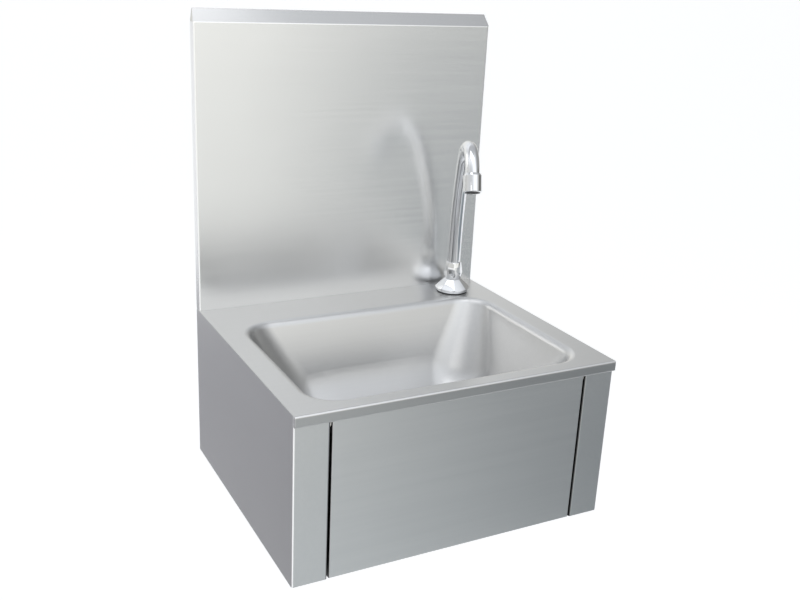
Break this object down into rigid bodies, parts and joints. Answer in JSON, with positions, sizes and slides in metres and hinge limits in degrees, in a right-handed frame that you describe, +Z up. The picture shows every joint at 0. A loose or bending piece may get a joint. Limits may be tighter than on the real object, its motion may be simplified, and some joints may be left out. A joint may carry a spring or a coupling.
{
  "type": "hand wash sink",
  "caption": "Wall-hung stainless steel hand wash sink: box cabinet, pressed basin, tall splashback, swivel gooseneck spout and a front knee panel that opens the water.",
  "frame": {"origin": "centre of the four wall screw holes, on the wall plane", "axes": "+X to the right, +Y to the wall, +Z up"},
  "size_m": [0.4, 0.34, 0.5705],
  "materials": {
    "brushed_sheet": "fine brushed stainless sheet",
    "rail_sheet": "mill stainless sheet",
    "screws": "bright stainless",
    "chrome": "polished chrome",
    "plated_brass": "nickel-plated brass",
    "rubber": "black rubber",
    "white_plastic": "moulded nylon",
    "dark_plastic": "moulded plastic",
    "braid": "braided stainless wire over rubber hose",
    "ferrules": "pressed stainless sleeve"
  },
  "bodies": {
    "cabinet": {"sink_top": "brushed_sheet", "right_side_panel": "brushed_sheet", "left_side_panel": "brushed_sheet", "splashback": "brushed_sheet", "splashback_screws": "screws", "upper_back_rail": "rail_sheet", "lower_back_rail": "rail_sheet", "valve_rail": "rail_sheet", "right_hinge_pin": "screws", "left_hinge_pin": "screws", "hinge_washers": "white_plastic", "hinge_nuts": "screws", "valve_body": "plated_brass", "valve_bonnet": "plated_brass", "valve_locknut": "plated_brass", "valve_spring": "screws", "mixing_body": "plated_brass", "union_nut": "plated_brass", "cold_inlet": "plated_brass", "hot_inlet": "plated_brass", "tap_gasket": "rubber", "tap_base": "chrome", "tap_collar": "chrome", "tap_shank": "plated_brass", "tap_washer": "rubber", "tap_backnut": "plated_brass", "waste_upper_seal": "rubber", "waste_strainer": "chrome", "waste_screw": "screws", "waste_lower_seal": "rubber", "waste_body": "white_plastic", "supply_hose": "braid", "valve_hose_ferrule": "ferrules", "tap_hose_ferrule": "ferrules", "valve_hose_nut": "plated_brass", "tap_hose_nut": "plated_brass"},
    "knee_panel": {"knee_panel": "brushed_sheet", "hinge_bushes": "white_plastic", "stop_buffers": "rubber", "push_pad": "white_plastic"},
    "valve_plunger": {"valve_button": "chrome", "valve_stem": "chrome"},
    "spout": {"spout_tube": "chrome", "spout_foot": "plated_brass", "spout_rings": "rubber", "slip_ring": "white_plastic", "aerator_housing": "chrome", "aerator_gasket": "rubber", "aerator_insert": "dark_plastic"},
    "mixing_knob": {"mixing_knob": "dark_plastic", "mixing_spindle": "plated_brass"}
  },
  "joints": [
    {"name": "knee_swing", "type": "hinge", "parent": "cabinet", "child": "knee_panel", "pos_m": [0, -0.328, 0.088], "axis": [1, 0, 0], "range_deg": [0, 3.5]},
    {"name": "valve_push", "type": "slide", "parent": "cabinet", "child": "valve_plunger", "axis": [0, 1, 0], "range_m": [0, 0.0095], "stiffness_N_per_m": 1500, "springref_m": -0.008, "deforming": ["valve_spring"]},
    {"name": "spout_swivel", "type": "hinge", "parent": "cabinet", "child": "spout", "pos_m": [0.1485, -0.0463, 0.105], "axis": [0, 0, 1], "range_deg": [-75, 120]},
    {"name": "mixing_turn", "type": "hinge", "parent": "cabinet", "child": "mixing_knob", "pos_m": [0, -0.2425, -0.061], "axis": [0, 0, 1], "range_deg": [-60, 60]}
  ],
  "couplings": [
    {"joint": "valve_push", "follows": "knee_swing", "m_per_rad": 0.149}
  ]
}
